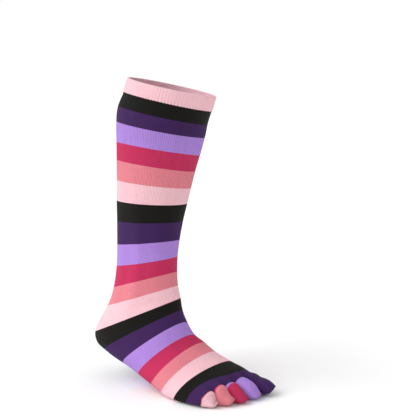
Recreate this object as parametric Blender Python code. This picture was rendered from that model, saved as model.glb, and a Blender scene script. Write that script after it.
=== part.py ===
"""A knee-height knitted toe sock for the right foot, in the shape that it has when worn.

Metres, +Z up, +X towards the toes, -Y towards the little toe. The origin is the middle of the cuff's opening.
The foot stands on its ball and toes with the heel lifted, and the leg leans forward over it.

A course is one knitted row, counted here in stripes: 0 at the cuff's edge, 1 under the cuff, 21 at the toes. Each
section below is cut at one course. Its course also bends: `slant` is how many stripes sooner the knitting reaches it
on the big-toe side than in the middle, and `bow` how many later both sides reach it.
"""

from collections import namedtuple

import bmesh
import bpy
import numpy as np

# The foot and the leg that the sock fits
FOOT_LENGTH = 0.242
ANKLE_HEIGHT = 0.143
LEG_LENGTH = 0.199
CALF_DEPTH = 0.1044
CALF_WIDTH = 0.101
ANKLE_DEPTH = 0.0768
ANKLE_WIDTH = 0.059
HEEL_WIDTH = 0.066
BALL_WIDTH = 0.090
TOE_HEIGHT = 0.0225

# The fabric
WALL = 0.0015
CUFF_WALL = 0.0024
CUFF_PROUD = 0.0004
GAP = 0.0004
SEAM_GAP = 0.0010

# Where the ankle's narrowest course stands ahead of the back of the heel, as a share of FOOT_LENGTH
ANKLE_FORWARD = 0.344

# How finely the surfaces are cut
SIDES = 36
TOE_SIDES = 16
RINGS_PER_STRIPE = 2
HEEL_RINGS = (12.25, 12.75, 13.25, 13.75)
CUFF_RINGS = 5
TOP_SQUARE = 2.0

# The courses where one piece ends and the next begins
CUFF_EDGE = 0.0
CUFF_SEAM = 1.0
TOE_SEAM = 21.1

YARNS = {
    "light_pink": (0.86, 0.50, 0.56),
    "black": (0.012, 0.012, 0.010),
    "dark_purple": (0.055, 0.020, 0.110),
    "lavender": (0.39, 0.22, 0.64),
    "raspberry": (0.50, 0.030, 0.110),
    "salmon": (0.75, 0.22, 0.26),
}
STRIPES = ("light_pink", "black", "dark_purple", "lavender", "raspberry", "salmon")
YARN_ROUGHNESS = 0.9

# forward, aside and height of a section's middle are shares of LEG_LENGTH from the ankle's middle; depth and width run
# from 0 at the ankle's size to 1 at the calf's; tilt is in degrees, above 0 where the front is the higher side
LEG_COLUMNS = "course forward aside height tilt depth width slant"
LEG_SECTIONS = (
    (0, 0.133, 0.074, 1.000, -11.5, 0.93, 0.93, 0.22),
    (1, 0.109, 0.068, 0.922, -11.3, 0.95, 0.95, 0.28),
    (2, 0.079, 0.062, 0.843, -10.6, 1.00, 1.00, 0.28),
    (3, 0.068, 0.056, 0.760, -8.7, 0.94, 0.95, 0.28),
    (4, 0.057, 0.048, 0.652, -6.5, 0.74, 0.81, 0.28),
    (5, 0.044, 0.041, 0.555, -6.0, 0.56, 0.64, 0.26),
    (6, 0.034, 0.033, 0.449, -3.5, 0.39, 0.50, 0.20),
    (7, 0.024, 0.025, 0.347, -0.6, 0.26, 0.36, 0.10),
    (8, 0.014, 0.017, 0.234, 3.0, 0.12, 0.17, 0.10),
    (9, 0.006, 0.009, 0.111, 8.0, 0.02, 0.05, 0.10),
    (10, 0.000, 0.002, 0.000, 11.9, 0.00, 0.00, 0.05),
)

# back and front are the two ends of a section in the foot's middle plane: forward of the heel as a share of
# FOOT_LENGTH, and above the floor as a share of ANKLE_HEIGHT; width is a share of HEEL_WIDTH
HEEL_COLUMNS = "course back back_up front front_up width low square arch slant"
HEEL_SECTIONS = (
    (11, 0.169, 0.751, 0.497, 0.934, 0.92, 0.00, 2.0, 0.00, 0.10),
    (12, 0.130, 0.594, 0.502, 0.822, 0.95, 0.00, 2.0, 0.00, 0.05),
    (12.6, 0.076, 0.448, 0.512, 0.759, 0.98, 0.00, 2.0, 0.00, 0.05),
    (13, 0.054, 0.357, 0.518, 0.720, 1.00, 0.00, 2.1, 0.00, 0.00),
    (13.5, 0.071, 0.266, 0.523, 0.675, 1.01, 0.10, 2.2, 0.00, 0.05),
    (14, 0.140, 0.217, 0.528, 0.629, 1.03, 0.25, 2.5, 0.05, 0.15),
)

# sole and top are the two ends of a section in the same way; aside and width are shares of BALL_WIDTH; low is how far
# down the widest line lies, square how square the sole's corners are, crest how far the ridge leans to the big toe
# and arch how far the sole lifts on that side
FOOT_COLUMNS = "course sole sole_up top top_up aside width low square crest arch slant bow"
FOOT_SECTIONS = (
    (15, 0.302, 0.133, 0.543, 0.531, -0.011, 0.78, 0.45, 2.8, 0.10, 0.12, 0.35, 0.00),
    (16, 0.409, 0.073, 0.572, 0.430, -0.022, 0.82, 0.55, 3.0, 0.20, 0.15, 0.40, 0.10),
    (17, 0.496, 0.035, 0.614, 0.367, -0.033, 0.89, 0.65, 3.2, 0.30, 0.10, 0.35, 0.15),
    (18, 0.574, 0.004, 0.667, 0.304, -0.044, 0.955, 0.70, 3.5, 0.30, 0.05, 0.35, 0.25),
    (19, 0.682, 0.000, 0.738, 0.245, -0.050, 1.00, 0.70, 3.5, 0.30, 0.00, 0.40, 0.30),
    (20, 0.773, 0.000, 0.802, 0.203, -0.056, 1.00, 0.50, 3.2, 0.30, 0.00, 0.50, 0.45),
    (21, 0.835, 0.000, 0.849, 0.178, -0.061, 0.98, 0.30, 3.0, 0.20, 0.00, 0.60, 0.74),
    (22, 0.897, 0.000, 0.901, 0.161, -0.061, 0.955, 0.30, 3.0, 0.20, 0.00, 0.70, 0.84),
)

# outer and inner are a toe's two edges at its root and aside is its tip, as shares of BALL_WIDTH; tip is how far
# forward it ends, as a share of FOOT_LENGTH; knuckle and tip_up are heights, as shares of TOE_HEIGHT
TOE_COLUMNS = "name yarn outer inner tip aside knuckle tip_up profile"
TOES = (
    ("little_toe", "light_pink", -0.545, -0.400, 0.822, -0.461, 0.72, 0.42, "curled"),
    ("fourth_toe", "salmon", -0.400, -0.239, 0.876, -0.306, 0.90, 0.40, "curled"),
    ("third_toe", "raspberry", -0.239, -0.067, 0.917, -0.146, 0.95, 0.27, "curled"),
    ("second_toe", "lavender", -0.067, 0.139, 0.944, 0.042, 1.00, 0.26, "curled"),
    ("big_toe", "dark_purple", 0.139, 0.422, 0.977, 0.262, 0.77, 0.46, "blunt"),
)

# along runs from a toe's root to its tip; top is a share of the knuckle's height, bottom of the tip's, wide of the
# toe's width at its root; square is how square the section's corners are
TOE_PROFILE_COLUMNS = "along top bottom wide square"
TOE_PROFILES = {
    "curled": (
        (0.00, 1.00, 0.00, 1.00, 6.0),
        (0.18, 1.00, 0.04, 0.97, 2.8),
        (0.38, 0.95, 0.10, 0.95, 2.3),
        (0.58, 0.84, 0.16, 0.91, 2.1),
        (0.74, 0.71, 0.24, 0.83, 2.0),
        (0.86, 0.58, 0.40, 0.68, 2.0),
        (0.94, 0.46, 0.62, 0.46, 2.0),
        (1.00, 0.36, 0.95, 0.10, 2.0),
    ),
    "blunt": (
        (0.00, 1.00, 0.00, 1.00, 6.0),
        (0.18, 1.00, 0.01, 0.97, 2.8),
        (0.38, 0.96, 0.03, 0.95, 2.4),
        (0.58, 0.99, 0.06, 0.94, 2.2),
        (0.74, 0.96, 0.13, 0.88, 2.1),
        (0.86, 0.87, 0.30, 0.74, 2.0),
        (0.94, 0.76, 0.55, 0.50, 2.0),
        (1.00, 0.62, 0.95, 0.10, 2.0),
    ),
}
ROOT_BLEND = 0.38
LAST_INNER_RING = 2

Section = namedtuple("Section", "course forward aside height tilt depth width low square crest arch slant bow")


def rows_of(columns, table):
    """The table's rows, with their columns by name."""
    row = namedtuple("Row", columns)
    return [row(*values) for values in table]


def leg_section(row):
    return Section(
        course=row.course,
        forward=ANKLE_FORWARD * FOOT_LENGTH + row.forward * LEG_LENGTH,
        aside=row.aside * LEG_LENGTH,
        height=ANKLE_HEIGHT + row.height * LEG_LENGTH,
        tilt=np.radians(row.tilt),
        depth=ANKLE_DEPTH + row.depth * (CALF_DEPTH - ANKLE_DEPTH),
        width=ANKLE_WIDTH + row.width * (CALF_WIDTH - ANKLE_WIDTH),
        low=0.0,
        square=TOP_SQUARE,
        crest=0.0,
        arch=0.0,
        slant=row.slant,
        bow=0.0,
    )


def section_between(course, back, front, **shape):
    """The section whose two ends in the middle plane are `back` and `front`, each forward and height."""
    across = front - back
    middle = (front + back) / 2
    return Section(
        course=course,
        forward=middle[0],
        height=middle[1],
        tilt=np.arctan2(across[1], across[0]),
        depth=np.hypot(*across),
        **shape,
    )


def heel_section(row):
    return section_between(
        row.course,
        np.array((row.back * FOOT_LENGTH, row.back_up * ANKLE_HEIGHT)),
        np.array((row.front * FOOT_LENGTH, row.front_up * ANKLE_HEIGHT)),
        aside=0.0,
        width=row.width * HEEL_WIDTH,
        low=row.low,
        square=row.square,
        crest=0.0,
        arch=row.arch,
        slant=row.slant,
        bow=0.0,
    )


def foot_section(row):
    return section_between(
        row.course,
        np.array((row.sole * FOOT_LENGTH, row.sole_up * ANKLE_HEIGHT)),
        np.array((row.top * FOOT_LENGTH, row.top_up * ANKLE_HEIGHT)),
        aside=row.aside * BALL_WIDTH,
        width=row.width * BALL_WIDTH,
        low=row.low,
        square=row.square,
        crest=row.crest,
        arch=row.arch,
        slant=row.slant,
        bow=row.bow,
    )


SECTIONS = np.array(
    [leg_section(row) for row in rows_of(LEG_COLUMNS, LEG_SECTIONS)]
    + [heel_section(row) for row in rows_of(HEEL_COLUMNS, HEEL_SECTIONS)]
    + [foot_section(row) for row in rows_of(FOOT_COLUMNS, FOOT_SECTIONS)]
)
COURSES = SECTIONS[:, 0]
SLOPES = np.gradient(SECTIONS, COURSES, axis=0)
CUFF_MIDDLE = Section(*SECTIONS[0])
ORIGIN = np.array((CUFF_MIDDLE.forward, CUFF_MIDDLE.aside, CUFF_MIDDLE.height))


def section_at(course):
    """The section at any course: a smooth curve through the tables' rows, for an array of courses."""
    i = np.clip(np.searchsorted(COURSES, course, side="right") - 1, 0, len(COURSES) - 2)
    span = (COURSES[i + 1] - COURSES[i])[..., None]
    f = (np.asarray(course, float) - COURSES[i])[..., None] / span
    start = SECTIONS[i] * (2 * f**3 - 3 * f**2 + 1) + SLOPES[i] * span * (f**3 - 2 * f**2 + f)
    end = SECTIONS[i + 1] * (3 * f**2 - 2 * f**3) + SLOPES[i + 1] * span * (f**3 - f**2)
    return Section(*np.moveaxis(start + end, -1, 0))


def rounded(value, square):
    """A cosine or sine on a circle (square 2) or on a squarer ring (over 2)."""
    return np.sign(value) * np.abs(value) ** (2 / square)


def on_sock(level, turn):
    """Points of the sock's outside. turn is 0 at the front or top and a quarter turn at the big-toe side."""
    s = section_at(level)
    up = np.cos(turn)
    side = np.sin(turn)
    square = np.where(up >= 0, TOP_SQUARE, s.square)
    reach = np.where(up >= 0, 1 + s.low, 1 - s.low)
    out = s.depth / 2 * (reach * rounded(up, square) - s.low)
    out = out + s.arch * s.depth * np.clip(side, 0, None) * np.clip(-up, 0, None)
    across = rounded(side, square) + s.crest * np.clip(up, 0, None) ** 2
    return np.stack(
        (
            s.forward + out * np.cos(s.tilt),
            s.aside + across * s.width / 2,
            s.height + out * np.sin(s.tilt),
        ),
        axis=-1,
    )


def turns(sides):
    return np.arange(sides) * 2 * np.pi / sides


def along_course(course, turn):
    """Points along one knitted course."""
    s = section_at(course)
    side = np.sin(turn)
    return on_sock(course + s.slant * side - s.bow * side**2, turn)


def inward(rings):
    """The direction into the sock at each point of a grid of rings."""
    along = np.gradient(rings, axis=0)
    around = np.roll(rings, -1, axis=1) - np.roll(rings, 1, axis=1)
    normal = np.cross(along, around)
    normal /= np.linalg.norm(normal, axis=-1, keepdims=True)
    to_middle = rings.mean(axis=1, keepdims=True) - rings
    return normal * np.sign((normal * to_middle).sum())


def fill_between(bm, near, far):
    """Quads between two rings of vertices."""
    faces = []
    for i in range(len(near)):
        j = (i + 1) % len(near)
        faces.append(bm.faces.new((near[i], near[j], far[j], far[i])))
    return faces


def knitted_object(name, outside, inside, yarns, band_yarns, closed_end):
    """One closed knitted wall between two grids of rings, open at the first ring, and at the last unless closed.

    band_yarns gives the number, in yarns, of the yarn that the band after each ring is knitted in.
    """
    bm = bmesh.new()
    skins = [[[bm.verts.new(point - ORIGIN) for point in ring] for ring in skin] for skin in (outside, inside)]
    for skin in skins:
        for number in range(len(skin) - 1):
            faces = fill_between(bm, skin[number], skin[number + 1])
            for face in faces:
                face.material_index = band_yarns[number]
    fill_between(bm, skins[0][0], skins[1][0])
    if closed_end:
        for skin in skins:
            bm.faces.new(skin[-1])
    else:
        fill_between(bm, skins[0][-1], skins[1][-1])
    bmesh.ops.recalc_face_normals(bm, faces=bm.faces)
    for face in bm.faces:
        face.smooth = True
    mesh = bpy.data.meshes.new(name)
    bm.to_mesh(mesh)
    bm.free()
    for yarn in yarns:
        mesh.materials.append(bpy.data.materials[yarn])
    knitted = bpy.data.objects.new(name, mesh)
    bpy.context.scene.collection.objects.link(knitted)
    return knitted


def make_yarns():
    for name, colour in YARNS.items():
        yarn = bpy.data.materials.new(name)
        yarn.use_nodes = True
        shader = yarn.node_tree.nodes["Principled BSDF"]
        shader.inputs["Base Color"].default_value = (*colour, 1.0)
        shader.inputs["Roughness"].default_value = YARN_ROUGHNESS


def make_cuff():
    """The welt: the fabric folded double, its fold at the top edge, a little proud of the leg."""
    courses = np.linspace(CUFF_EDGE, CUFF_SEAM, CUFF_RINGS)
    rings = np.array([along_course(course, turns(SIDES)) for course in courses])
    into = inward(rings)
    outside = rings - CUFF_PROUD * into
    inside = rings + (CUFF_WALL - CUFF_PROUD) * into
    return knitted_object("cuff", outside, inside, STRIPES[:1], [0] * CUFF_RINGS, closed_end=False)


def make_leg_and_foot():
    """The striped tube, from just under the cuff, round the heel, to the roots of the toes."""
    courses = np.arange(CUFF_SEAM * RINGS_PER_STRIPE, TOE_SEAM * RINGS_PER_STRIPE) / RINGS_PER_STRIPE
    courses = np.sort(np.concatenate((courses, HEEL_RINGS, (TOE_SEAM,))))
    rings = np.array([along_course(course, turns(SIDES)) for course in courses])
    down_the_leg = rings[1] - rings[0]
    rings[0] += GAP * down_the_leg / np.linalg.norm(down_the_leg, axis=-1, keepdims=True)
    inside = rings + WALL * inward(rings)
    last_stripe = int(TOE_SEAM) - 1
    band_yarns = [min(int(course), last_stripe) % len(STRIPES) for course in courses]
    return knitted_object("leg_and_foot", rings, inside, STRIPES, band_yarns, closed_end=False)


def seam_line(up):
    """The toe seam's top half, or its sole half, as points in order from the little toe to the big toe."""
    turn = turns(SIDES)
    half = along_course(TOE_SEAM, turn[np.cos(turn) * up > -1e-9])
    return half[np.argsort(half[:, 1])]


def seam_ends(aside):
    """Forward and height of the toe seam's sole line and of its top line."""
    lines = (seam_line(-1), seam_line(1))
    return [[np.interp(aside, line[:, 1], line[:, axis]) for axis in (0, 2)] for line in lines]


def on_seam(aside, up):
    """Forward and height on the toe seam's surface: up runs from 0 on the sole to 1 on top."""
    sole, top = np.array(seam_ends(aside))
    return sole + (top - sole) * up


def seam_forward(aside, height):
    sole, top = seam_ends(aside)
    up = (height - sole[1]) / (top[1] - sole[1])
    return sole[0] + (top[0] - sole[0]) * up


def toe_rings(toe):
    """The outside of a toe pocket: its root follows the seam, and it frees itself over the first ROOT_BLEND."""
    outer = toe.outer * BALL_WIDTH + GAP / 2
    inner = toe.inner * BALL_WIDTH - GAP / 2
    middle = (outer + inner) / 2
    knuckle = toe.knuckle * TOE_HEIGHT
    tip = toe.tip_up * TOE_HEIGHT
    turn = turns(TOE_SIDES)
    rings = []
    for row in rows_of(TOE_PROFILE_COLUMNS, TOE_PROFILES[toe.profile]):
        up = (1 + rounded(np.cos(turn), row.square)) / 2
        across = (inner - outer) / 2 * row.wide * rounded(np.sin(turn), row.square)
        seam = on_seam(middle + across, up)
        low = tip * row.bottom
        high = max(knuckle * row.top, low + WALL)
        free = min(row.along / ROOT_BLEND, 1.0)
        free = free * free * (3 - 2 * free)
        forward = SEAM_GAP + seam[0] + (toe.tip * FOOT_LENGTH - seam[0]) * row.along
        aside = middle + across + (toe.aside * BALL_WIDTH - middle) * row.along**2
        height = seam[1] * (1 - free) + (low + (high - low) * up) * free
        rings.append(np.stack((forward, aside, height), axis=-1))
    return np.array(rings)


def make_toe(toe):
    rings = toe_rings(toe)
    into = inward(rings)
    into[0, :, 0] = 0
    into[0] /= np.linalg.norm(into[0], axis=-1, keepdims=True)
    inside = (rings + WALL * into)[:-LAST_INNER_RING]
    inside[0, :, 0] = SEAM_GAP + seam_forward(inside[0, :, 1], inside[0, :, 2])
    return knitted_object(toe.name, rings, inside, (toe.yarn,), [0] * len(rings), closed_end=True)


def main():
    for leftover in list(bpy.data.objects):
        bpy.data.objects.remove(leftover, do_unlink=True)
    make_yarns()
    make_cuff()
    make_leg_and_foot()
    for toe in rows_of(TOE_COLUMNS, TOES):
        make_toe(toe)


main()
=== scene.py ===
"""The looks of a striped, knitted toe sock, in the shape that it has on a right foot.

Metres, +Z up, +X towards the toes, -Y towards the little toe. The origin is the middle of the cuff's opening.
"""

from collections import namedtuple

import bmesh
import bpy
import numpy as np
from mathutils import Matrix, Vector


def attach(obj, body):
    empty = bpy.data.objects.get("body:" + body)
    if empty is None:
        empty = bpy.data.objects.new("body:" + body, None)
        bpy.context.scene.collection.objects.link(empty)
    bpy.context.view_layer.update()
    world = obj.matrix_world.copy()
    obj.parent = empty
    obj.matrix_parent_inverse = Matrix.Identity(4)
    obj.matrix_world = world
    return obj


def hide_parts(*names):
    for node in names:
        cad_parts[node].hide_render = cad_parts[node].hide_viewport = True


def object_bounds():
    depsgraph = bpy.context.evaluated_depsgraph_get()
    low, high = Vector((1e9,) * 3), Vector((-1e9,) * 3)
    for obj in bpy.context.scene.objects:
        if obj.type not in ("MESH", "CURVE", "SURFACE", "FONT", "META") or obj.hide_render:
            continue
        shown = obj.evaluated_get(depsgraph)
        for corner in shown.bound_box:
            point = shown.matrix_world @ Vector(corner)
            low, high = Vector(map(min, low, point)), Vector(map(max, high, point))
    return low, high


# The foot and the leg that the sock fits, as in the CAD model
FOOT_LENGTH = 0.242
ANKLE_HEIGHT = 0.143
LEG_LENGTH = 0.199
CALF_DEPTH = 0.1044
CALF_WIDTH = 0.101
ANKLE_DEPTH = 0.0768
ANKLE_WIDTH = 0.059
HEEL_WIDTH = 0.066
BALL_WIDTH = 0.090
TOE_HEIGHT = 0.0225
ANKLE_FORWARD = 0.344
TOP_SQUARE = 2.0

# The fabric
WALL = 0.0015
CUFF_WALL = 0.0024
CUFF_PROUD = 0.0004
CUFF_RELIEF = 0.00035
CUFF_SEAM = 1.0
TOE_SEAM = 21.1
LAST_STRIPE = 20.0

# The knitting: needles round the sock, and rows in one stripe
WALES = 168
ROWS = 18
CUFF_RIBS = 88
TOE_WALES = 40
TOE_ROW = 0.0010

# How finely the pieces are cut: points round a ring, and stripes from ring to ring
LEG_SIDES = 144
LEG_STEP = 0.078
LEG_END_RINGS = 30
RIB_SIDES = 6
TOE_SIDES = 64
TOE_ROOT_RINGS = 13
INNER_EVERY = 3

# Parts of the bake map's width that the outer and the inner skin take
OUTER_MAP = (0.0, 0.62)
INNER_MAP = (0.66, 1.0)

# The stitches: how far a V's arms lean in rows, and the size of the bump in metres
STITCH_LEAN = 0.42
BUMP_STRENGTH = 0.6
BUMP_DISTANCE = 0.0005
# How sharply the gaps between wales fall off, for their painted shade and their depth, how deep the bump sinks
# them, and the yarn's gloss
GAP_SHARPNESS = 4.0
GAP_DEPTH = 1.5
SPECULAR = 0.10
SHEEN = 0.03
SHEEN_ROUGHNESS = 0.5

# Least value and range: of the gaps' painted shade and depth wale by wale, of the painted shade over a stitch,
# and of the yarn's own mottling, fine and broad
UNEVEN = (0.8, 0.4)
STITCH_SHADE = (0.86, 0.24)
HEATHER = (0.84, 0.32)
HEATHER_SCALE = 700.0
CLOUDY = (0.93, 0.14)
CLOUDY_SCALE = 45.0
ROUGH = 0.97
ROUGH_FALL = 0.14

# Painted shade in the gaps between wales, and how deep the bump sinks them: on the leg, fading over some
# stripes to a least share, and elsewhere
LEG_GAP_DEPTH_AND_SHADE = 0.6
LEG_GAP_FADE = 15.0
LEG_GAP_LEAST = 0.2
PLAIN_GAP_DEPTH_AND_SHADE = 0.20

# Yarn colours, as linear red, green and blue
YARNS = {
    "light_pink": (0.88, 0.53, 0.585),
    "black": (0.0085, 0.0080, 0.0068),
    "dark_purple": (0.048, 0.017, 0.092),
    "lavender": (0.40, 0.23, 0.66),
    "raspberry": (0.53, 0.030, 0.104),
    "salmon": (0.73, 0.215, 0.26),
}
STRIPES = ("light_pink", "black", "dark_purple", "lavender", "raspberry", "salmon")

LEG_COLUMNS = "course forward aside height tilt depth width slant"
LEG_SECTIONS = (
    (0, 0.133, 0.074, 1.000, -11.5, 0.93, 0.93, 0.22),
    (1, 0.109, 0.068, 0.922, -11.3, 0.95, 0.95, 0.28),
    (2, 0.079, 0.062, 0.843, -10.6, 1.00, 1.00, 0.28),
    (3, 0.068, 0.056, 0.760, -8.7, 0.94, 0.95, 0.28),
    (4, 0.057, 0.048, 0.652, -6.5, 0.74, 0.81, 0.28),
    (5, 0.044, 0.041, 0.555, -6.0, 0.56, 0.64, 0.26),
    (6, 0.034, 0.033, 0.449, -3.5, 0.39, 0.50, 0.20),
    (7, 0.024, 0.025, 0.347, -0.6, 0.26, 0.36, 0.10),
    (8, 0.014, 0.017, 0.234, 3.0, 0.12, 0.17, 0.10),
    (9, 0.006, 0.009, 0.111, 8.0, 0.02, 0.05, 0.10),
    (10, 0.000, 0.002, 0.000, 11.9, 0.00, 0.00, 0.05),
)
HEEL_COLUMNS = "course back back_up front front_up width low square arch slant"
HEEL_SECTIONS = (
    (11, 0.169, 0.751, 0.497, 0.934, 0.92, 0.00, 2.0, 0.00, 0.10),
    (12, 0.130, 0.594, 0.502, 0.822, 0.95, 0.00, 2.0, 0.00, 0.05),
    (12.6, 0.076, 0.448, 0.512, 0.759, 0.98, 0.00, 2.0, 0.00, 0.05),
    (13, 0.054, 0.357, 0.518, 0.720, 1.00, 0.00, 2.1, 0.00, 0.00),
    (13.5, 0.071, 0.266, 0.523, 0.675, 1.01, 0.10, 2.2, 0.00, 0.05),
    (14, 0.140, 0.217, 0.528, 0.629, 1.03, 0.25, 2.5, 0.05, 0.15),
)
FOOT_COLUMNS = "course sole sole_up top top_up aside width low square crest arch slant bow"
FOOT_SECTIONS = (
    (15, 0.302, 0.133, 0.543, 0.531, -0.011, 0.78, 0.45, 2.8, 0.10, 0.12, 0.35, 0.00),
    (16, 0.409, 0.073, 0.572, 0.430, -0.022, 0.82, 0.55, 3.0, 0.20, 0.15, 0.40, 0.10),
    (17, 0.496, 0.035, 0.614, 0.367, -0.033, 0.89, 0.65, 3.2, 0.30, 0.10, 0.35, 0.15),
    (18, 0.574, 0.004, 0.667, 0.304, -0.044, 0.955, 0.70, 3.5, 0.30, 0.05, 0.35, 0.25),
    (19, 0.682, 0.000, 0.738, 0.245, -0.050, 1.00, 0.70, 3.5, 0.30, 0.00, 0.40, 0.30),
    (20, 0.773, 0.000, 0.802, 0.203, -0.056, 1.00, 0.50, 3.2, 0.30, 0.00, 0.50, 0.45),
    (21, 0.835, 0.000, 0.849, 0.178, -0.061, 0.98, 0.30, 3.0, 0.20, 0.00, 0.60, 0.74),
    (22, 0.897, 0.000, 0.901, 0.161, -0.061, 0.955, 0.30, 3.0, 0.20, 0.00, 0.70, 0.84),
)

TOE_COLUMNS = "name yarn base_yarn base_rows outer inner tip aside knuckle tip_up root"
TOES = (
    ("little_toe", "light_pink", "salmon", 2, -0.545, -0.400, 0.822, -0.461, 0.72, 0.42, 0.12),
    ("fourth_toe", "salmon", "raspberry", 2, -0.400, -0.239, 0.876, -0.306, 0.90, 0.40, 0.20),
    ("third_toe", "raspberry", "lavender", 3, -0.239, -0.067, 0.917, -0.146, 0.95, 0.27, 0.16),
    ("second_toe", "lavender", "dark_purple", 0, -0.067, 0.139, 0.942, 0.042, 1.00, 0.26, 0.20),
    ("big_toe", "dark_purple", "dark_purple", 0, 0.139, 0.422, 0.972, 0.262, 0.77, 0.46, 0.20),
)
# Each toe by its length: along, top, bottom, wide and square, as shares of its length, knuckle, tip and room
TOE_PROFILES = {
    "little_toe": (
        (0.00, 1.12, 0.00, 1.00, 1.9),
        (0.15, 1.00, 0.03, 1.00, 1.7),
        (0.30, 0.85, 0.08, 0.99, 1.7),
        (0.50, 0.67, 0.14, 0.96, 1.7),
        (0.71, 0.52, 0.20, 0.88, 1.8),
        (0.86, 0.42, 0.30, 0.78, 1.9),
        (0.94, 0.36, 0.46, 0.66, 2.0),
        (1.00, 0.31, 0.74, 0.52, 2.0),
    ),
    "fourth_toe": (
        (0.00, 1.08, 0.00, 1.00, 2.5),
        (0.18, 1.00, 0.04, 0.99, 2.5),
        (0.35, 0.85, 0.08, 0.97, 2.4),
        (0.52, 0.69, 0.14, 0.93, 2.3),
        (0.70, 0.59, 0.22, 0.88, 2.2),
        (0.86, 0.53, 0.34, 0.80, 2.1),
        (0.94, 0.48, 0.54, 0.72, 2.0),
        (1.00, 0.42, 0.84, 0.62, 2.0),
    ),
    "third_toe": (
        (0.00, 0.98, 0.00, 1.00, 2.6),
        (0.20, 0.95, 0.04, 0.99, 2.5),
        (0.35, 0.86, 0.08, 0.97, 2.4),
        (0.54, 0.68, 0.14, 0.93, 2.3),
        (0.74, 0.50, 0.22, 0.87, 2.1),
        (0.86, 0.40, 0.38, 0.79, 2.0),
        (0.94, 0.33, 0.58, 0.68, 2.0),
        (1.00, 0.27, 0.86, 0.56, 2.0),
    ),
    "second_toe": (
        (0.00, 1.00, 0.00, 1.00, 2.6),
        (0.18, 0.96, 0.03, 0.99, 2.5),
        (0.38, 0.91, 0.07, 0.97, 2.4),
        (0.55, 0.84, 0.12, 0.94, 2.2),
        (0.74, 0.67, 0.20, 0.87, 2.1),
        (0.86, 0.50, 0.34, 0.78, 2.0),
        (0.94, 0.39, 0.54, 0.69, 2.0),
        (1.00, 0.30, 0.86, 0.60, 2.0),
    ),
    "big_toe": (
        (0.00, 1.24, 0.00, 1.00, 2.6),
        (0.15, 1.12, 0.01, 0.98, 2.5),
        (0.30, 1.03, 0.02, 0.96, 2.3),
        (0.54, 1.01, 0.05, 0.94, 2.2),
        (0.72, 0.94, 0.12, 0.88, 2.1),
        (0.86, 0.83, 0.28, 0.78, 2.0),
        (0.94, 0.72, 0.52, 0.66, 2.0),
        (1.00, 0.62, 0.88, 0.54, 2.0),
    ),
}
ROOT_BLEND = 0.38

# A toe's rings by shares of its length: from, to and how many, and which of them the inside has
TOE_STEPS = ((0.0, 0.86, 34), (0.875, 1.0, 9))
TOE_INSIDE = slice(None, -9, 2)

# The gap left beside each toe, the least height at a tip, and how a root eases off
TOE_GAP = 0.0001
TOE_LEAST = 0.0012
OPEN_SIDE_BACK = 0.7
PROUD_FADE = 0.3
CLOSED_SIDE_FLAT = 0.8

# How far a toe pocket's root stands over the foot, by stripes back from where it comes out of it
ROOT_PROUD = ((-0.30, 0.0008), (-0.06, 0.0007), (0.0, 0.0), (0.08, -0.0012), (0.20, -0.0036), (0.40, -0.0060))
ROOT_TUCK = 0.30

# How far the foot's top sinks in front of the ball, by shares of its width at the toe seam, and how far back
SEAM_DIP = (
    (-0.50, 0.0),
    (-0.42, 0.0),
    (-0.31, 0.0008),
    (-0.20, 0.0034),
    (-0.12, 0.0042),
    (0.06, 0.0034),
    (0.20, 0.0022),
    (0.32, 0.0004),
    (0.40, 0.0),
)
SEAM_DIP_REACH = 1.3

# Between two toes the foot's top and sole dip: how deep, how far back along the foot in stripes and how wide
WEB_DIP = 0.0046
WEB_REACH = 0.55
WEB_WIDTH = 0.0031

# Bones and hollows under the knit: the middle's stripe and turn, how far it reaches both ways, and how proud
RELIEF_COLUMNS = "course turn along around proud"
RELIEF = (
    (10.2, -80, 2.3, 9, 0.0010),
    (10.4, -103, 2.2, 11, -0.0011),
    (12.0, -84, 0.9, 17, 0.0014),
    (11.0, 103, 2.0, 12, -0.0012),
    (11.6, 80, 1.0, 17, 0.0016),
)

# How much later than its course the last yarn change before the toes comes, in stripes, by turn
LATE_COURSE = 20.0
LATE_REACH = 0.6
LATE_CHANGE = (
    (-180, 0.0),
    (-100, -0.1),
    (-80, -0.2),
    (-60, -0.30),
    (-45, -0.13),
    (-33, 0.0),
    (-22, 0.14),
    (-10, 0.26),
    (5, 0.36),
    (40, 0.36),
    (90, 0.2),
    (180, 0.0),
)

# The cuff's outside by course, proud and teeth, from its toothed lower edge up to the fold, and its inside
CUFF_PROFILE = (
    (1.000, -0.6, 0.055),
    (0.992, 0.60, 0.055),
    (0.965, 1.00, 0.050),
    (0.920, 1.00, 0.030),
    (0.840, 1.00, 0.000),
    (0.680, 1.00, 0.000),
    (0.520, 1.00, 0.000),
    (0.360, 1.00, 0.000),
    (0.220, 1.00, 0.000),
    (0.110, 1.00, 0.000),
    (0.055, 0.85, 0.000),
    (0.020, 0.45, 0.000),
    (0.000, -0.30, 0.000),
)
CUFF_INSIDE = (1.0, 0.9, 0.6, 0.3, 0.05, 0.0)

# The camera stands where the photographer stood: its place, tilt and turn in degrees, and its reach in pixels
CAMERA_PLACE = (0.5425, -0.8590, 0.0179)
CAMERA_TILT = 81.3
CAMERA_TURN = 30.0
CAMERA_REACH = 898.0
FRAME_WIDTH = 416.0
SENSOR_WIDTH = 36.0

# The light: the lamp's strength, spread in degrees and direction
LAMP_STRENGTH = 1.95
LAMP_SPREAD = 50.0
LAMP_FROM = (-0.72, -0.76, 0.80)
FLOOR_REACH = 40.0
FLOOR_PALE = 0.95
WORLD_FALL = (("From Min", 0.08), ("From Max", 0.6), ("To Min", 1.02), ("To Max", 0.76))

# The side of the first and the last toe that lies open, not against another toe
OPEN_SIDE = {"little_toe": -1, "big_toe": 1}

Section = namedtuple("Section", "course forward aside height tilt depth width low square crest arch slant bow")


def rows_of(columns, table):
    row = namedtuple("Row", columns)
    return [row(*values) for values in table]


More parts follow.
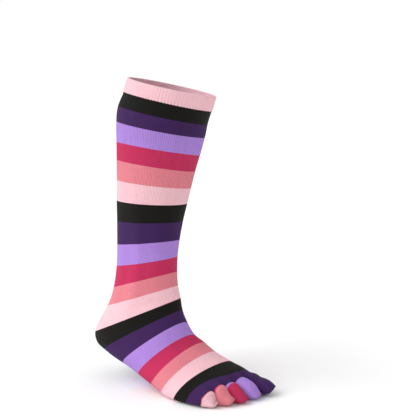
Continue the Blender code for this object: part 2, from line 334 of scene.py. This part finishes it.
def leg_section(row):
    return Section(
        course=row.course,
        forward=ANKLE_FORWARD * FOOT_LENGTH + row.forward * LEG_LENGTH,
        aside=row.aside * LEG_LENGTH,
        height=ANKLE_HEIGHT + row.height * LEG_LENGTH,
        tilt=np.radians(row.tilt),
        depth=ANKLE_DEPTH + row.depth * (CALF_DEPTH - ANKLE_DEPTH),
        width=ANKLE_WIDTH + row.width * (CALF_WIDTH - ANKLE_WIDTH),
        low=0.0,
        square=TOP_SQUARE,
        crest=0.0,
        arch=0.0,
        slant=row.slant,
        bow=0.0,
    )


def section_between(course, back, front, **shape):
    across = front - back
    middle = (front + back) / 2
    return Section(
        course=course,
        forward=middle[0],
        height=middle[1],
        tilt=np.arctan2(across[1], across[0]),
        depth=np.hypot(*across),
        **shape,
    )


def heel_section(row):
    return section_between(
        row.course,
        np.array((row.back * FOOT_LENGTH, row.back_up * ANKLE_HEIGHT)),
        np.array((row.front * FOOT_LENGTH, row.front_up * ANKLE_HEIGHT)),
        aside=0.0,
        width=row.width * HEEL_WIDTH,
        low=row.low,
        square=row.square,
        crest=0.0,
        arch=row.arch,
        slant=row.slant,
        bow=0.0,
    )


def foot_section(row):
    return section_between(
        row.course,
        np.array((row.sole * FOOT_LENGTH, row.sole_up * ANKLE_HEIGHT)),
        np.array((row.top * FOOT_LENGTH, row.top_up * ANKLE_HEIGHT)),
        aside=row.aside * BALL_WIDTH,
        width=row.width * BALL_WIDTH,
        low=row.low,
        square=row.square,
        crest=row.crest,
        arch=row.arch,
        slant=row.slant,
        bow=row.bow,
    )


SECTIONS = np.array(
    [leg_section(row) for row in rows_of(LEG_COLUMNS, LEG_SECTIONS)]
    + [heel_section(row) for row in rows_of(HEEL_COLUMNS, HEEL_SECTIONS)]
    + [foot_section(row) for row in rows_of(FOOT_COLUMNS, FOOT_SECTIONS)]
)
COURSES = SECTIONS[:, 0]
SLOPES = np.gradient(SECTIONS, COURSES, axis=0)
CUFF_MIDDLE = Section(*SECTIONS[0])
ORIGIN = np.array((CUFF_MIDDLE.forward, CUFF_MIDDLE.aside, CUFF_MIDDLE.height))
TOE_EDGES = [row.outer * BALL_WIDTH for row in rows_of(TOE_COLUMNS, TOES)][1:]


def section_at(course):
    i = np.clip(np.searchsorted(COURSES, course, side="right") - 1, 0, len(COURSES) - 2)
    span = (COURSES[i + 1] - COURSES[i])[..., None]
    f = (np.asarray(course, float) - COURSES[i])[..., None] / span
    start = SECTIONS[i] * (2 * f**3 - 3 * f**2 + 1) + SLOPES[i] * span * (f**3 - 2 * f**2 + f)
    end = SECTIONS[i + 1] * (3 * f**2 - 2 * f**3) + SLOPES[i + 1] * span * (f**3 - f**2)
    return Section(*np.moveaxis(start + end, -1, 0))


def rounded(value, square):
    return np.sign(value) * np.abs(value) ** (2 / square)


def on_sock(level, turn):
    s = section_at(level)
    up = np.cos(turn)
    side = np.sin(turn)
    square = np.where(up >= 0, TOP_SQUARE, s.square)
    reach = np.where(up >= 0, 1 + s.low, 1 - s.low)
    out = s.depth / 2 * (reach * rounded(up, square) - s.low)
    out = out + s.arch * s.depth * np.clip(side, 0, None) * np.clip(-up, 0, None)
    across = rounded(side, square) + s.crest * np.clip(up, 0, None) ** 2
    return np.stack(
        (
            s.forward + out * np.cos(s.tilt),
            s.aside + across * s.width / 2,
            s.height + out * np.sin(s.tilt),
        ),
        axis=-1,
    )


def turns(sides):
    return np.arange(sides) * 2 * np.pi / sides


def along_course(course, turn):
    s = section_at(course)
    side = np.sin(turn)
    return on_sock(course + s.slant * side - s.bow * side**2, turn)


def inward(rings):
    along = np.gradient(rings, axis=0)
    around = np.roll(rings, -1, axis=1) - np.roll(rings, 1, axis=1)
    normal = np.cross(along, around)
    normal /= np.maximum(np.linalg.norm(normal, axis=-1, keepdims=True), 1e-12)
    to_middle = rings.mean(axis=1, keepdims=True) - rings
    return normal * np.sign((normal * to_middle).sum())


def course_lines(course):
    """The sole's half and the top's half of one course, each from the little toe's side to the big toe's."""
    turn = turns(720)
    ring = along_course(course, turn)
    halves = [ring[np.cos(turn) * up > -1e-9] for up in (-1, 1)]
    return [half[np.argsort(half[:, 1])] for half in halves]


def seam_dip(aside, back):
    """How far the foot's top lies under its plain form, near the toe seam."""
    across, dip = np.array(SEAM_DIP).T
    return np.interp(aside, across * BALL_WIDTH, dip) * smooth(1 - np.asarray(back) / SEAM_DIP_REACH)


def on_course(course, aside, up):
    """Forward and height of points aside of the foot's middle, up from a course's sole by this share."""
    course, aside, up = np.broadcast_arrays(course, aside, up)
    found = np.empty((2,) + aside.shape)
    for level in np.unique(course):
        here = course == level
        lines = course_lines(level)
        ends = [[np.interp(aside[here], half[:, 1], half[:, axis]) for axis in (0, 2)] for half in lines]
        sole, top = np.array(ends)
        top[1] = np.maximum(top[1] - seam_dip(aside[here], TOE_SEAM - level), sole[1])
        found[:, here] = sole + (top - sole) * up[here]
    return found


def smooth(x):
    x = np.clip(x, 0, 1)
    return x * x * (3 - 2 * x)


def quad_strip(bm, near, far, layers, near_uv, far_uv):
    """Quads between two rings of vertices; the maps' last column closes the ring."""
    count = len(near)
    for i in range(count):
        j = (i + 1) % count
        face = bm.faces.new((near[i], near[j], far[j], far[i]))
        face.smooth = True
        corners = ((near_uv, i), (near_uv, i + 1), (far_uv, i + 1), (far_uv, i))
        for loop, (rows, column) in zip(face.loops, corners):
            for uv, row in zip(layers, rows):
                loop[uv].uv = row[column]


def tube_object(name, skins, closed_end, material):
    """A closed wall of skins, each (rings, knit map, bake map), joined ring to ring at the rims."""
    bm = bmesh.new()
    layers = (bm.loops.layers.uv.new("Knit"), bm.loops.layers.uv.new("OFBake"))
    walls = []
    for rings, knit, bake in skins:
        verts = [[bm.verts.new(point) for point in ring] for ring in rings]
        for k in range(len(verts) - 1):
            quad_strip(bm, verts[k], verts[k + 1], layers, (knit[k], bake[k]), (knit[k + 1], bake[k + 1]))
        walls.append((verts, knit, bake))
    (outer, knit_a, bake_a), (inner, _, _) = walls
    rims = (0,) if closed_end else (0, -1)
    for rim in rims:
        rim_uv = (knit_a[rim], bake_a[rim])
        quad_strip(bm, outer[rim], inner[rim], layers, rim_uv, rim_uv)
    if closed_end:
        for verts, knit, bake in walls:
            face = bm.faces.new(verts[-1])
            face.smooth = True
            for loop, a, b in zip(face.loops, knit[-1], bake[-1]):
                loop[layers[0]].uv = a
                loop[layers[1]].uv = b
    bmesh.ops.recalc_face_normals(bm, faces=bm.faces)
    mesh = bpy.data.meshes.new(name)
    bm.to_mesh(mesh)
    bm.free()
    mesh.materials.append(material)
    tube = bpy.data.objects.new(name, mesh)
    bpy.context.scene.collection.objects.link(tube)
    return tube


def maps(rings, wales, rows, span, low=0.0, high=1.0, even=False):
    """The knit map, in stitches, and the bake map, in its own part of the square, of a grid of rings.

    even spaces the wales by the way round each ring, not by its points.
    """
    count = rings.shape[1]
    u = np.broadcast_to(np.arange(count + 1) / count, (len(rings), count + 1))
    if even:
        step = np.linalg.norm(np.roll(rings, -1, axis=1) - rings, axis=-1)
        way = np.concatenate((np.zeros((len(rings), 1)), np.cumsum(step, axis=1)), axis=1)
        u = way / way[:, -1:]
    v = np.linspace(low, high, len(rings))
    rows = np.broadcast_to(rows.reshape(len(rings), -1), (len(rings), count))
    knit = np.stack((u * wales, np.concatenate((rows, rows[:, :1]), axis=1)), -1)
    left, right = span
    flat = np.arange(count + 1) / count
    bake = np.stack(np.broadcast_arrays(left + (right - left) * flat[None], v[:, None]), -1)
    return knit, bake


def web_dips(points, back):
    """How far points dip where two toes part. back is how far they are behind the toe seam, in stripes."""
    dip = np.zeros(back.shape)
    for edge in TOE_EDGES:
        dip += np.exp(-(((points[..., 1] - edge) / WEB_WIDTH) ** 2))
    return WEB_DIP * dip * np.exp(-((np.clip(back, 0, None) / WEB_REACH) ** 2))


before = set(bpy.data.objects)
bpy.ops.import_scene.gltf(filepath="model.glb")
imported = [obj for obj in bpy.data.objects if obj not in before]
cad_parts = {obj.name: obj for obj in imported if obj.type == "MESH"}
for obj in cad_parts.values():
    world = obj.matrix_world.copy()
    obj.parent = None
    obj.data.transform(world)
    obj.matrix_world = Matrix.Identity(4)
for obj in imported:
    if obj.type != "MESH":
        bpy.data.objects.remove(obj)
cad_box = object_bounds()


class Nodes:
    """Short calls that add shader nodes to one material."""

    def __init__(self, name):
        self.material = bpy.data.materials.new(name)
        self.material.use_nodes = True
        self.tree = self.material.node_tree
        self.shader = self.tree.nodes["Principled BSDF"]

    def put(self, socket, value):
        if isinstance(value, bpy.types.NodeSocket):
            self.tree.links.new(value, socket)
        else:
            socket.default_value = value

    def maths(self, operation, *values):
        node = self.tree.nodes.new("ShaderNodeMath")
        node.operation = operation
        for socket, value in zip(node.inputs, values):
            self.put(socket, value)
        return node.outputs[0]

    def ranged(self, value, least, span):
        return self.maths("ADD", least, self.maths("MULTIPLY", value, span))

    def mix(self, share, a, b, blend="MIX"):
        node = self.tree.nodes.new("ShaderNodeMix")
        node.data_type = "RGBA"
        node.blend_type = blend
        self.put(node.inputs["Factor"], share)
        self.put(node.inputs["A"], a)
        self.put(node.inputs["B"], b)
        return node.outputs["Result"]

    def knit_map(self):
        uv = self.tree.nodes.new("ShaderNodeUVMap")
        uv.uv_map = "Knit"
        parts = self.tree.nodes.new("ShaderNodeSeparateXYZ")
        self.tree.links.new(uv.outputs[0], parts.inputs[0])
        return parts.outputs[0], parts.outputs[1]

    def noise(self, scale, detail=2.0):
        place = self.tree.nodes.new("ShaderNodeTexCoord")
        node = self.tree.nodes.new("ShaderNodeTexNoise")
        node.inputs["Scale"].default_value = scale
        node.inputs["Detail"].default_value = detail
        self.tree.links.new(place.outputs["Object"], node.inputs["Vector"])
        return node.outputs[0]


def stitches(n, wale, row):
    """Jersey stitches, each a V of yarn: the row's number, the yarn's height and how near the gap, 0 to 1."""
    across = n.maths("ABSOLUTE", n.maths("SUBTRACT", n.maths("FRACT", wale), 0.5))
    lifted = n.maths("SUBTRACT", row, n.maths("MULTIPLY", across, 2 * STITCH_LEAN))
    number = n.maths("FLOOR", lifted)
    along = n.maths("SUBTRACT", n.maths("MULTIPLY", n.maths("FRACT", lifted), 2.0), 1.0)
    strand = n.maths("SUBTRACT", 1.0, n.maths("POWER", n.maths("ABSOLUTE", along), 2.4))
    ridge = n.maths("MULTIPLY", across, 2.0)
    off_arm = n.maths("ABSOLUTE", n.maths("SUBTRACT", ridge, 0.45))
    arm = n.maths("SUBTRACT", 1.0, n.maths("POWER", off_arm, 1.6))
    height = n.maths("MULTIPLY", strand, arm)
    return number, height, ridge


def yarn_ramp(n, stripe):
    """The stripe's yarn colour, from its number."""
    ramp = n.tree.nodes.new("ShaderNodeValToRGB")
    ramp.color_ramp.interpolation = "CONSTANT"
    stops = ramp.color_ramp.elements
    count = len(STRIPES)
    while len(stops) < count:
        stops.new(0.5)
    for i in range(count):
        stops[i].position = i / count
    for i, yarn in enumerate(STRIPES):
        stops[i].color = (*YARNS[yarn], 1.0)
    share = n.maths("FRACT", n.maths("DIVIDE", n.maths("ADD", stripe, 0.5), count))
    n.tree.links.new(share, ramp.inputs[0])
    return ramp.outputs[0]


def finish_knit(n, colour, height, wale, ridge, rib):
    """Paints shade into the colour in the gaps between wales, which the bump also sinks, and over each stitch;
    mottles the yarn, and joins it all to the shader.
    """
    chance = n.tree.nodes.new("ShaderNodeTexWhiteNoise")
    chance.noise_dimensions = "1D"
    n.put(chance.inputs["W"], n.maths("FLOOR", n.maths("ADD", wale, 0.5)))
    uneven = n.ranged(chance.outputs["Value"], *UNEVEN)
    # gap is the painted shade between wales in the colour, and the sinking of the gaps in the bump; rib sets
    # its strength, uneven varies it wale by wale
    gap = n.maths("MULTIPLY", n.maths("POWER", ridge, GAP_SHARPNESS), n.maths("MULTIPLY", uneven, rib))
    # Painted shade: yarn that lies low in a stitch is darker, and the gaps between wales darker still
    shade = n.maths("SUBTRACT", n.ranged(height, *STITCH_SHADE), gap)
    heather = n.ranged(n.noise(HEATHER_SCALE), *HEATHER)
    cloudy = n.ranged(n.noise(CLOUDY_SCALE), *CLOUDY)
    # The painted shade, times the yarn's own fine and broad mottling
    shade_and_mottle = n.maths("MULTIPLY", n.maths("MULTIPLY", shade, heather), cloudy)
    grey = n.tree.nodes.new("ShaderNodeCombineColor")
    for socket in grey.inputs[:3]:
        n.tree.links.new(shade_and_mottle, socket)
    n.put(n.shader.inputs["Base Color"], n.mix(1.0, colour, grey.outputs[0], "MULTIPLY"))
    bump = n.tree.nodes.new("ShaderNodeBump")
    bump.inputs["Strength"].default_value = BUMP_STRENGTH
    bump.inputs["Distance"].default_value = BUMP_DISTANCE
    n.put(bump.inputs["Height"], n.maths("SUBTRACT", height, n.maths("MULTIPLY", gap, GAP_DEPTH)))
    n.put(n.shader.inputs["Normal"], bump.outputs[0])
    n.put(n.shader.inputs["Roughness"], n.maths("SUBTRACT", ROUGH, n.maths("MULTIPLY", height, ROUGH_FALL)))
    n.shader.inputs["Specular IOR Level"].default_value = SPECULAR
    n.shader.inputs["Sheen Weight"].default_value = SHEEN
    n.shader.inputs["Sheen Roughness"].default_value = SHEEN_ROUGHNESS
    return n.material


def striped_knit():
    n = Nodes("striped_knit")
    wale, row = n.knit_map()
    number, height, ridge = stitches(n, wale, row)
    stripe = n.maths("FLOOR", n.maths("DIVIDE", n.maths("ADD", number, 0.5), ROWS))
    stripe = n.maths("MINIMUM", stripe, LAST_STRIPE)
    # rib here is the strength of the painted shade and the depth in the gaps between wales, fading down the
    # leg to a least share
    fade = n.maths("SUBTRACT", 1.0, n.maths("DIVIDE", row, LEG_GAP_FADE * ROWS))
    rib = n.maths("MULTIPLY", n.maths("MAXIMUM", fade, LEG_GAP_LEAST), LEG_GAP_DEPTH_AND_SHADE)
    return finish_knit(n, yarn_ramp(n, stripe), height, wale, ridge, rib)


def plain_knit(name, yarn, base_yarn=None, base_rows=0):
    n = Nodes(name)
    wale, row = n.knit_map()
    number, height, ridge = stitches(n, wale, row)
    colour = (*YARNS[yarn], 1.0)
    if base_rows:
        past = n.maths("GREATER_THAN", number, base_rows - 0.5)
        colour = n.mix(past, (*YARNS[base_yarn], 1.0), colour)
    # Plain knit gets weaker painted shade and depth in the gaps between wales
    return finish_knit(n, colour, height, wale, ridge, PLAIN_GAP_DEPTH_AND_SHADE)


def relief(course, turn):
    """How far the bones and hollows of the ankle push the knit out."""
    proud = np.zeros(np.broadcast(course, turn).shape)
    for row in rows_of(RELIEF_COLUMNS, RELIEF):
        away = (np.degrees(turn) - row.turn + 180) % 360 - 180
        proud += row.proud * np.exp(-(((course - row.course) / row.along) ** 2) - (away / row.around) ** 2)
    return proud


def make_leg_and_foot():
    leg = np.arange(CUFF_SEAM - 0.03, LAST_STRIPE, LEG_STEP)
    courses = np.concatenate((leg, np.linspace(LAST_STRIPE, TOE_SEAM + 0.02, LEG_END_RINGS)))
    turn = turns(LEG_SIDES)
    rings = np.array([along_course(c, turn) for c in courses])
    into = inward(rings)
    back = np.broadcast_to((TOE_SEAM - courses)[:, None], rings.shape[:2])
    webs = web_dips(rings, back) * np.abs(np.cos(turn))[None] ** 0.5
    outer = rings + into * (webs - relief(courses[:, None], turn[None]))[..., None]
    outer[..., 2] -= seam_dip(rings[..., 1], back) * smooth(np.cos(turn)[None] * 3)
    outer = outer - ORIGIN
    inner = outer + into * WALL
    picked = np.unique(np.append(np.arange(0, len(courses), INNER_EVERY), len(courses) - 1))
    at, late = np.array(LATE_CHANGE).T
    late = np.interp((np.degrees(turn) + 180) % 360 - 180, at, late)[None]
    late = late * np.exp(-(((courses - LATE_COURSE) / LATE_REACH) ** 2))[:, None]
    row = (courses[:, None] - late) * ROWS
    knit_a, bake_a = maps(outer, WALES, row, OUTER_MAP)
    knit_b, bake_b = maps(inner[picked], WALES, row[picked], INNER_MAP)
    skins = ((outer, knit_a, bake_a), (inner[picked], knit_b, bake_b))
    return tube_object("striped_leg_and_foot", skins, False, striped_knit())


def make_cuff():
    """The welt: the fabric folded double, with fine ribs, a rounded fold on top and a toothed lower edge."""
    turn = turns(CUFF_RIBS * RIB_SIDES)
    rib = 0.5 + 0.5 * np.cos(turn * CUFF_RIBS)
    profile = np.array(CUFF_PROFILE)
    rings = np.array([along_course(level + teeth * rib, turn) for level, _, teeth in profile])
    smoothed = np.array([along_course(level, turn) for level, _, _ in profile[1:-1]])
    into = inward(smoothed)
    into = np.concatenate((into[:1], into, into[-1:]))
    proud = profile[:, 1][:, None] * (CUFF_PROUD + CUFF_RELIEF * rib[None])
    outer = rings - into * proud[..., None] - ORIGIN
    inner_levels = np.array(CUFF_INSIDE)
    inner = np.array([along_course(level, turn) for level in inner_levels])
    inner = inner + inward(inner) * (CUFF_WALL - CUFF_PROUD) - ORIGIN
    knit_a, bake_a = maps(outer, CUFF_RIBS * 2, profile[:, 0] * ROWS, (0.0, 1.0), 0.0, 0.5)
    knit_b, bake_b = maps(inner, CUFF_RIBS * 2, inner_levels * ROWS, (0.0, 1.0), 0.55, 1.0)
    skins = ((outer, knit_a, bake_a), (inner, knit_b, bake_b))
    return tube_object("ribbed_cuff", skins, False, plain_knit("cuff_knit", "light_pink"))


def toe_ring(toe, turn, u, back=0.0):
    """One ring of a toe pocket: u along its length from the seam, or back from the seam in stripes."""
    outer = toe.outer * BALL_WIDTH + TOE_GAP
    inner = toe.inner * BALL_WIDTH - TOE_GAP
    middle = (outer + inner) / 2
    half = (inner - outer) / 2
    along, *shape = np.array(TOE_PROFILES[toe.name]).T
    top, bottom, wide, square = [np.interp(u, along, column) for column in shape]
    side = np.sin(turn) * OPEN_SIDE.get(toe.name, 0)
    up = (1 + rounded(np.cos(turn), square)) / 2
    across = half * wide * rounded(np.sin(turn), square)
    at_root = np.where(side > 0, half * wide * np.sin(turn), across)
    blend = smooth(np.array(u / ROOT_BLEND))
    across = at_root + (across - at_root) * blend
    back = back * (1 - OPEN_SIDE_BACK * np.clip(side, 0, 1))
    seam = on_course(TOE_SEAM - back, middle + across, np.where(side > 0, np.cos(turn) > 0, up))
    low = toe.tip_up * TOE_HEIGHT * bottom
    high = max(toe.knuckle * TOE_HEIGHT * top, low + TOE_LEAST)
    forward = seam[0] + (toe.tip * FOOT_LENGTH - seam[0]) * u
    aside = middle + across + (toe.aside * BALL_WIDTH - middle) * u**2
    height = seam[1] * (1 - blend) + (low + (high - low) * up) * blend
    return np.stack((forward, aside, height), axis=-1)


def make_toe(toe):
    turn = turns(TOE_SIDES)
    backs = np.linspace(toe.root + ROOT_TUCK, 0.0, TOE_ROOT_RINGS + 1)[:-1]
    steps = np.concatenate([np.linspace(*part) for part in TOE_STEPS])
    rings = [toe_ring(toe, turn, 0.0, back) for back in backs] + [toe_ring(toe, turn, u) for u in steps]
    rings = np.array(rings)
    into = inward(rings)
    at, proud = np.array(ROOT_PROUD).T
    proud = np.interp(np.concatenate((backs, 0 * steps)) - toe.root, at, proud)
    proud = proud * np.concatenate((1 + 0 * backs, 1 - smooth(steps / PROUD_FADE)))
    closed_side = np.clip(-np.sin(turn) * OPEN_SIDE.get(toe.name, 0), 0, None)
    if toe.name not in OPEN_SIDE:
        closed_side = np.abs(np.sin(turn))
    rings = rings - into * (proud[:, None] * (1 - CLOSED_SIDE_FLAT * closed_side**4)[None])[..., None]
    length = np.linalg.norm(np.diff(rings, axis=0), axis=-1)
    length = np.concatenate((np.zeros((1, len(turn))), np.cumsum(length, axis=0)))
    start = np.array([np.interp(-toe.root, -backs, column) for column in length[: len(backs)].T])
    row = (length - start) / TOE_ROW
    outer = rings - ORIGIN
    inner = (outer + into * WALL)[TOE_INSIDE]
    knit_a, bake_a = maps(outer, TOE_WALES, row, OUTER_MAP, even=True)
    knit_b, bake_b = maps(inner, TOE_WALES, row[TOE_INSIDE], INNER_MAP, even=True)
    skins = ((outer, knit_a, bake_a), (inner, knit_b, bake_b))
    knit = plain_knit(toe.name + "_knit", toe.yarn, toe.base_yarn, toe.base_rows)
    return tube_object(toe.name + "_pocket", skins, True, knit)


def wear(made, node):
    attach(made, "root")
    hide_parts(node)


wear(make_leg_and_foot(), "leg_and_foot")
wear(make_cuff(), "cuff")
for toe in rows_of(TOE_COLUMNS, TOES):
    wear(make_toe(toe), toe.name)


def make_floor():
    lowest = cad_box[0].z
    signs = ((-1, -1), (1, -1), (1, 1), (-1, 1))
    corners = [(x * FLOOR_REACH, y * FLOOR_REACH, lowest) for x, y in signs]
    mesh = bpy.data.meshes.new("floor")
    mesh.from_pydata(corners, [], [(0, 1, 2, 3)])
    floor = bpy.data.objects.new("floor", mesh)
    bpy.context.scene.collection.objects.link(floor)
    paint = bpy.data.materials.new("pale_floor")
    paint.use_nodes = True
    shader = paint.node_tree.nodes["Principled BSDF"]
    shader.inputs["Base Color"].default_value = (FLOOR_PALE, FLOOR_PALE, FLOOR_PALE, 1.0)
    shader.inputs["Roughness"].default_value = 0.95
    shader.inputs["Specular IOR Level"].default_value = 0.1
    mesh.materials.append(paint)


def make_light():
    """A white room that is brightest low down, and one wide soft lamp high on the left."""
    world = bpy.data.worlds.new("studio")
    world.use_nodes = True
    tree = world.node_tree
    place = tree.nodes.new("ShaderNodeTexCoord")
    parts = tree.nodes.new("ShaderNodeSeparateXYZ")
    tree.links.new(place.outputs["Generated"], parts.inputs[0])
    fall = tree.nodes.new("ShaderNodeMapRange")
    for name, value in WORLD_FALL:
        fall.inputs[name].default_value = value
    tree.links.new(parts.outputs[2], fall.inputs["Value"])
    tree.links.new(fall.outputs[0], tree.nodes["Background"].inputs["Strength"])
    tree.nodes["Background"].inputs["Color"].default_value = (1.0, 1.0, 1.0, 1.0)
    bpy.context.scene.world = world
    lamp = bpy.data.lights.new("key_light", "SUN")
    lamp.energy = LAMP_STRENGTH
    lamp.angle = np.radians(LAMP_SPREAD)
    placed = bpy.data.objects.new("key_light", lamp)
    placed.rotation_euler = Vector(LAMP_FROM).to_track_quat("Z", "Y").to_euler()
    bpy.context.scene.collection.objects.link(placed)
    bpy.context.scene.view_settings.view_transform = "Standard"


def make_camera():
    lens = bpy.data.cameras.new("camera")
    lens.sensor_width = SENSOR_WIDTH
    lens.lens = SENSOR_WIDTH * CAMERA_REACH / FRAME_WIDTH
    camera = bpy.data.objects.new("camera", lens)
    camera.location = CAMERA_PLACE
    camera.rotation_euler = (np.radians(CAMERA_TILT), 0.0, np.radians(CAMERA_TURN))
    bpy.context.scene.collection.objects.link(camera)
    bpy.context.scene.camera = camera


make_floor()
make_light()
make_camera()
